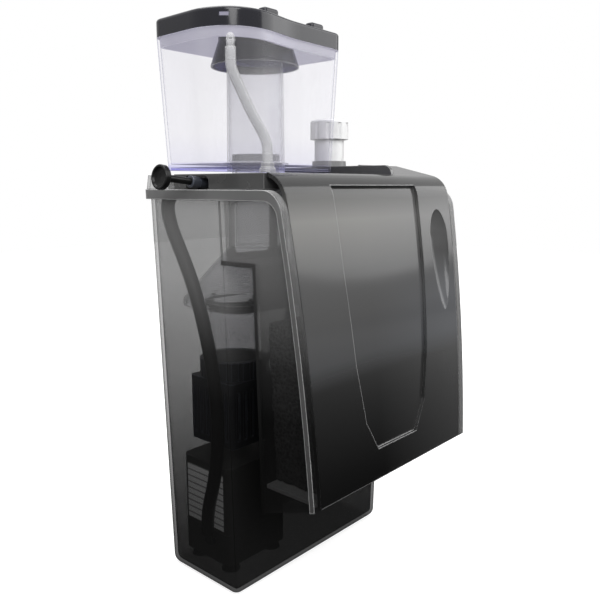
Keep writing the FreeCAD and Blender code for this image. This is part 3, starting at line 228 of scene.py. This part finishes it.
def see_through(name, tint, body_shade, veil, roughness=0.08, edge=None, glow=0.35, painted_edge_tone=0.85,
                dark=None):
    """Transparent moulding, seen through except for a thin veil of its body colour and its gloss.
    The tint is what one surface passes, and edge what it passes where it turns away. Tint, body,
    veil and dark may be functions of the shader; dark is 1 where painted shade shuts off the view
    through. Along its edges it takes a painted edge tone, more opaque by glow: a painted highlight
    where that tone is pale, a painted shade where it is dark."""
    s = Shader(name)
    passed = s.shade(tint)
    cover = veil(s) if callable(veil) else veil
    facing = s.add("ShaderNodeLayerWeight", Blend=0.5).outputs["Facing"]
    if edge:
        passed = s.blend(s.maths("POWER", facing, GRAZING_POWER), passed, rgba(edge))
    clear = s.add("ShaderNodeBsdfTransparent", Color=passed).outputs[0]
    # Painted line along the edges: a painted highlight where the edge tone is pale, a painted shade
    # where it is dark.
    rim = s.edge()
    colour = s.blend(rim, s.shade(body_shade), rgba(painted_edge_tone))
    gloss = s.plastic(colour, roughness, s.bump(s.noise(25.0), 0.04, 0.001))
    opaque = s.maths("ADD", s.maths("ADD", schlick(s, facing), cover), s.maths("MULTIPLY", rim, glow),
                     clamp=True)
    surface = s.mix(opaque, clear, gloss)
    # Painted shade: a near-black gloss laid over the view through where dark is 1.
    if dark:
        black = s.add("ShaderNodeBsdfPrincipled", Base_Color=rgba(0.004), Roughness=0.2).outputs[0]
        shut_off = 0.9           # share of the view through a dark place
        surface = s.mix(s.maths("MULTIPLY", dark(s), shut_off), surface, black)
    return s.finish(surface)


def schlick(s, facing):
    """Share of light mirrored, from how far the surface turns away; the same from both sides."""
    turned = s.maths("POWER", facing, GRAZING_POWER)
    return s.maths("MULTIPLY_ADD", turned, MIRROR_SIDE_ON, MIRROR_FACE_ON)


def smoked_wall():
    """Smoked box with a thin haze: painted light makes it grey above and painted shade darker below,
    and painted shade makes its edges nearly black.
    """
    def tint(s):
        return s.by_level(FLOOR_LEVEL, RIM_LEVEL, (0.0, 0.36), (0.3, 0.52), (0.52, 0.66), (0.8, 0.74),
                          (1.0, 0.75))

    def body(s):
        return s.by_level(FLOOR_LEVEL, RIM_LEVEL, (0.0, 0.05), (0.5, 0.02), (0.62, 0.07), (0.8, 0.45),
                          (1.0, 0.75))
    return see_through("smoked_wall", tint, body, 0.12, edge=0.12, glow=0.75, painted_edge_tone=0.004,
                       dark=sheets_end_on)


def sheets_end_on(s):
    """1 on the side walls where the sheets round the tank slot stand end-on behind them: there the
    wall takes a painted shade.
    """
    across = s.part_of(s.place, "Y")
    up = s.part_of(s.place, "Z")
    lean = s.maths("MULTIPLY", up, SLOT_LEAN)
    off_middle = s.maths("ADD", s.maths("ABSOLUTE", s.maths("ADD", across, lean)), lean)
    beside = s.maths("MULTIPLY", s.maths("COMPARE", off_middle, SLOT_SHEET, SHEET_HALF),
                     s.maths("LESS_THAN", up, 2 * SHEET_HALF))
    above = s.maths("MULTIPLY", s.maths("COMPARE", up, SHEET_HALF, SHEET_HALF),
                    s.maths("LESS_THAN", off_middle, SLOT_SHEET))
    sideways = s.maths("ABSOLUTE", s.part_of(s.add("ShaderNodeNewGeometry").outputs["Normal"], "X"))
    return s.maths("MULTIPLY", s.maths("MAXIMUM", beside, above),
                   s.maths("GREATER_THAN", sideways, 0.7))


def bead_plastic():
    """Rolled bead of the box: thicker than its walls, so paler; painted light makes it paler towards
    the rim and painted shade darker towards its foot, and a painted highlight gives it a bright line
    of light.
    """
    def body(s):
        return s.by_level(FLOOR_LEVEL, RIM_LEVEL, (0.0, 0.10), (0.5, 0.16), (0.9, 0.24), (1.0, 0.30))
    return see_through("bead_plastic", 0.3, body, 0.4, glow=0.5, painted_edge_tone=0.8)


def smoked_front():
    """Front cover: nearly opaque, banded by painted light for the light from above that comes through
    it, with edge lines of painted shade where they turn left and of painted highlight elsewhere. The
    painted bands differ a little from its left side to its right."""
    s = Shader("smoked_front")
    low = -0.17
    high = 0.075
    left = s.by_level(low, high, (0.0, 0.005), (0.35, 0.014), (0.42, (0.048, 0.049, 0.051)),
                      (0.55, 0.075), (0.68, 0.085), (0.83, (0.165, 0.163, 0.155)), (0.93, 0.035),
                      (1.0, 0.022))
    right = s.by_level(low, high, (0.0, 0.035), (0.35, 0.045), (0.42, (0.075, 0.078, 0.084)),
                       (0.55, (0.10, 0.102, 0.108)), (0.70, 0.07), (0.83, 0.13), (0.93, 0.04),
                       (1.0, 0.025))
    rightward = s.span(s.part_of(s.place, "X"), -0.02, 0.09)
    # Painted edge lines: painted shade where an edge turns left, painted highlight elsewhere.
    leftward = s.maths("MULTIPLY", s.part_of(s.rounded(EDGE_LINE), "X"), -TILT_GAIN, clamp=True)
    line = s.blend(leftward, rgba(0.40), rgba(0.003))
    colour = s.blend(s.edge(), s.blend(rightward, left, right), line)
    body = s.plastic(colour, 0.12, s.bump(s.noise(18.0), 0.03, 0.001), Specular_IOR_Level=0.3)
    passed = s.by_level(low, high, (0.0, 0.3), (1.0, 0.7))
    clear = s.add("ShaderNodeBsdfTransparent", Color=passed).outputs[0]
    return s.finish(s.mix(FRONT_COVER_SHARE, clear, body))


def printed_label():
    """White label ruled with thin grey lines, brightened by a painted glow of its own colour."""
    s = Shader("printed_label")
    stripes = s.add("ShaderNodeTexWave", Vector=s.place, Scale=55.0, Distortion=0.0)
    stripes.bands_direction = "Z"
    colour = s.ramp(stripes.outputs["Fac"], (0.12, 0.30), (0.2, 0.78))
    return s.finish(s.plastic(colour, 0.45, s.bump(s.noise(300.0), 0.05),
                              Emission_Color=colour, Emission_Strength=0.3))


def foam_fill():
    """Black open-cell foam: pitted, with painted shade deep in its pits, so its cell walls read
    brighter.
    """
    s = Shader("trap_foam")
    cells = s.add("ShaderNodeTexVoronoi", Vector=s.place, Scale=420.0).outputs["Distance"]
    colour = s.ramp(cells, (0.1, 0.006), (0.7, 0.07))
    return s.finish(s.plastic(colour, 0.85, s.bump(cells, 0.9, 0.0012)))


def cup_wall():
    """Clear cup: bluish where the sheet is thick, at its foot and its turned-away sides, with
    soft upright streaks of painted reflection."""
    def tint(s):
        return s.by_level(0.069, 0.10, (0.0, (0.66, 0.65, 0.90)), (0.25, (0.965, 0.962, 0.985)),
                          (1.0, (0.985, 0.983, 0.992)))

    def veil(s):
        # Painted reflection: soft upright streaks of veil.
        upright = s.add("ShaderNodeMapping", Vector=s.place)
        upright.inputs["Scale"].default_value = (1.0, 1.0, 0.08)
        streaks = s.add("ShaderNodeTexNoise", Vector=upright.outputs[0], Scale=30.0).outputs[0]
        return s.maths("MULTIPLY", s.maths("POWER", streaks, 3.0), 0.16)
    return see_through("clear_cup", tint, 0.8, veil, edge=(0.50, 0.49, 0.76), glow=0.25)


def lid_underside():
    """The lid's inner face and plug skirt, with a painted glow for the light that comes through the
    smoked sheet.
    """
    s = Shader("lid_underside")
    mottle = s.noise(12.0)
    glow = s.ramp(mottle, (0.3, (0.26, 0.25, 0.32)), (0.7, (0.38, 0.37, 0.45)))
    return s.finish(s.plastic(rgba(0.08), 0.3, s.bump(mottle, 0.05),
                              Emission_Color=glow, Emission_Strength=1.0))


MATERIALS = {
    "smoked_shell": smoked_wall(),
    "smoked_cover": smoked_front(),
    "deck_grey": solid_plastic("deck_grey", 0.055, 0.26, coat=0.3, painted_edge_highlight=3.0),
    "clear_plastic": cup_wall(),
    "frosted_plastic": see_through("frosted", (0.965, 0.965, 0.975), 0.9, 0.10, 0.25),
    "lid_charcoal": solid_plastic("lid_charcoal", (0.010, 0.010, 0.015), 0.14, coat=0.15, painted_edge_highlight=5.0,
                                  mirror=0.3),
    "deflector_smoke": see_through("deflector_smoke", (0.22, 0.21, 0.34), (0.05, 0.05, 0.09), 0.15),
    "soft_tube": see_through("soft_tube", (0.95, 0.95, 0.965), 0.9, 0.16, 0.2),
    "hose_black": solid_plastic("hose_black", 0.014, 0.4, 0.1),
    "rubber_black": solid_plastic("rubber_black", 0.018, 0.6, 0.2),
    "knob_black": solid_plastic("knob_black", 0.005, 0.3, painted_edge_highlight=3.0, mirror=0.2),
    "pump_black": solid_plastic("pump_black", (0.030, 0.033, 0.042), 0.38, 0.15, painted_edge_highlight=5.0),
    "wheel_grey": solid_plastic("wheel_grey", 0.12, 0.4),
    "white_plastic": solid_plastic("white_plastic", 0.82, 0.3, painted_edge_highlight=1.0),
    "collar_grey": solid_plastic("collar_grey", 0.2, 0.4),
    "label_white": printed_label(),
    "foam_black": foam_fill(),
    "magnet": solid_plastic("magnet", 0.03, 0.35),
    "ceramic": solid_plastic("ceramic", (0.84, 0.82, 0.78), 0.15, 0.01, painted_edge_highlight=1.0),
}


# --- CAD nodes ----------------------------------------------------------------------------------

def dress(node, slot):
    """Give the whole of a CAD node the finish of its slot."""
    thing = frame["nodes"][node]
    thing.data.materials.clear()
    thing.data.materials.append(MATERIALS[slot])
    for face in thing.data.polygons:
        face.material_index = 0


for part in frame["record"]["subparts"]:
    dress(part["node"], part["material_slot"])


def dress_faces(node, material, chosen):
    """Give the chosen faces of a CAD node their own finish; chosen takes corners and a normal."""
    mesh = frame["nodes"][node].data
    mesh.materials.append(material)
    second = len(mesh.materials) - 1
    for face in mesh.polygons:
        if chosen([mesh.vertices[index].co for index in face.vertices], face.normal):
            face.material_index = second


def on_bead(corners, normal):
    """True where the box's skin stands outside its drafted side walls or its rear wall."""
    beside = all(abs(corner.x) > CASE_HALF_WIDTH - (RIM_LEVEL - corner.z) * DRAFT + SKIN_STEP
                 for corner in corners)
    return beside or all(corner.y > CASE_BACK + SKIN_STEP for corner in corners)


def under_lid(corners, normal):
    """True on the lid's plug skirt and its inner faces."""
    return min(corner.z for corner in corners) < CUP_RIM - LID_STEP or normal.z < -0.5


def every_face(corners, normal):
    """True on all of a node."""
    return True


motor_grey = solid_plastic("motor_grey", (0.115, 0.115, 0.11), 0.5, 0.1)
dress_faces("outer_case", bead_plastic(), on_bead)
dress_faces("cup_lid", lid_underside(), under_lid)
# The grille painted pale: painted light for the light from below that brightens its ledge.
dress_faces("outlet_grille", see_through("grille_ledge", 0.6, 0.85, 0.7), every_face)
for pump_case in ("pump_motor", "pump_volute"):
    dress_faces(pump_case, motor_grey, every_face)


# --- bubble trap foam ---------------------------------------------------------------------------

VOXEL = 0.0016     # mesh size of the block
CELLS_PER_METRE = 260
PIT_DEPTH = 0.0022                           # for a cell as wide as its spacing
PIT_REACH = 0.75                             # of a cell's spacing, from its middle to its wall


def build_foam():
    """Open-cell block: the CAD block's outline, remeshed fine and pitted with cells."""
    source = frame["nodes"]["bubble_trap_foam"]
    block = bpy.data.objects.new("trap_foam", source.data.copy())
    bpy.context.scene.collection.objects.link(block)
    remesh = block.modifiers.new("cells", "REMESH")
    remesh.mode = "VOXEL"
    remesh.voxel_size = VOXEL
    apply_modifiers(block)
    mesh = block.data
    normals = [vertex.normal.copy() for vertex in mesh.vertices]
    for vertex, normal in zip(mesh.vertices, normals):
        near = noise.voronoi(vertex.co * CELLS_PER_METRE)[0][0]
        vertex.co -= normal * PIT_DEPTH * max(0.0, PIT_REACH - near)
    mesh.materials.clear()
    mesh.materials.append(MATERIALS["foam_black"])
    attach(block, "case")
    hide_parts("bubble_trap_foam")


def apply_modifiers(thing):
    """Bake an object's modifiers into its mesh."""
    graph = bpy.context.evaluated_depsgraph_get()
    mesh = bpy.data.meshes.new_from_object(thing.evaluated_get(graph), depsgraph=graph)
    thing.modifiers.clear()
    thing.data = mesh


build_foam()


# --- stage --------------------------------------------------------------------------------------

FLOOR_REACH = 3.0
FLOOR_GAP = 0.0005               # between the object's foot and the floor
SKY_FOOT = -0.1                  # height of a ray at which the sky is dimmest
SKY_HEAD = 0.35                  # and brightest
LIGHTS = (                       # name, place, size and power of each round lamp
    ("key", (-0.9, -1.1, 1.0), 1.2, 22.0),
    ("fill", (1.4, -1.0, 0.7), 1.4, 12.0),
    ("top", (0.0, 0.3, 1.6), 1.5, 18.0),
)
CAMERA_PLACE = (-0.439, -0.3567, 0.0577)
CAMERA_TILT = 0.1670             # below the horizon, radians
CAMERA_HEADING = -0.8411         # off straight ahead, radians
CAMERA_LENS = 40.62              # millimetres, before a sensor 36 wide


def build_floor():
    """Floor: pale to the camera; to other rays dark by the object's foot and bright far off, so
    that the see-through walls aren't lit from below."""
    mesh = bpy.data.meshes.new("floor")
    corners = [(-FLOOR_REACH, -FLOOR_REACH, 0), (FLOOR_REACH, -FLOOR_REACH, 0),
               (FLOOR_REACH, FLOOR_REACH, 0), (-FLOOR_REACH, FLOOR_REACH, 0)]
    mesh.from_pydata(corners, [], [(0, 1, 2, 3)])
    floor = bpy.data.objects.new("floor", mesh)
    floor.location.z = FLOOR_LEVEL - FLOOR_GAP
    bpy.context.scene.collection.objects.link(floor)

    s = Shader("floor")
    away = s.tree.nodes.new("ShaderNodeVectorMath")
    away.operation = "LENGTH"
    s.feed(away, "0", s.place)
    spread = s.maths("DIVIDE", away.outputs["Value"], FLOOR_REACH)
    unseen = s.add("ShaderNodeEmission", Strength=1.0,
                   Color=s.ramp(spread, (0.12, 0.015), (0.3, 0.25), (0.55, 0.7))).outputs[0]
    matt = s.add("ShaderNodeBsdfDiffuse", Color=rgba(0.5)).outputs[0]
    glow = s.add("ShaderNodeEmission", Color=rgba(1.0), Strength=0.7).outputs[0]
    pale = s.tree.nodes.new("ShaderNodeAddShader")
    s.feed(pale, "0", matt)
    s.feed(pale, "1", glow)
    mesh.materials.append(s.finish(s.mix(s.seen(), unseen, pale.outputs[0])))


def build_sky():
    """White to the camera; to other rays dim below the horizon and bright above it."""
    s = Nodes(bpy.data.worlds.new("studio"), "ShaderNodeOutputWorld")
    height = s.part_of(s.add("ShaderNodeTexCoord").outputs["Generated"], "Z")
    lit = s.span(height, SKY_FOOT, SKY_HEAD, 0.12, 0.95)
    strength = s.maths("MAXIMUM", lit, s.seen())
    sky = s.add("ShaderNodeBackground", Color=rgba(1.0), Strength=strength).outputs[0]
    bpy.context.scene.world = s.finish(sky)


def build_lights():
    """Soft round lamps, all aimed at the middle of the object."""
    for label, place, size, power in LIGHTS:
        light = bpy.data.lights.new(label, "AREA")
        light.shape = "DISK"
        light.size = size
        light.energy = power
        lamp = bpy.data.objects.new(label, light)
        lamp.location = place
        lamp.rotation_euler = (-Vector(place)).to_track_quat("-Z", "Y").to_euler()
        bpy.context.scene.collection.objects.link(lamp)


def build_camera():
    """Camera level with the rim, off the left front corner and looking a little down."""
    camera = bpy.data.cameras.new("camera")
    camera.lens = CAMERA_LENS
    camera.sensor_width = 36.0
    camera.clip_start = 0.01
    holder = bpy.data.objects.new("camera", camera)
    holder.location = CAMERA_PLACE
    holder.rotation_euler = (math.pi / 2 - CAMERA_TILT, 0.0, CAMERA_HEADING)
    bpy.context.scene.collection.objects.link(holder)
    bpy.context.scene.camera = holder


build_floor()
build_sky()
build_lights()
build_camera()
bpy.context.scene.view_settings.view_transform = "Standard"
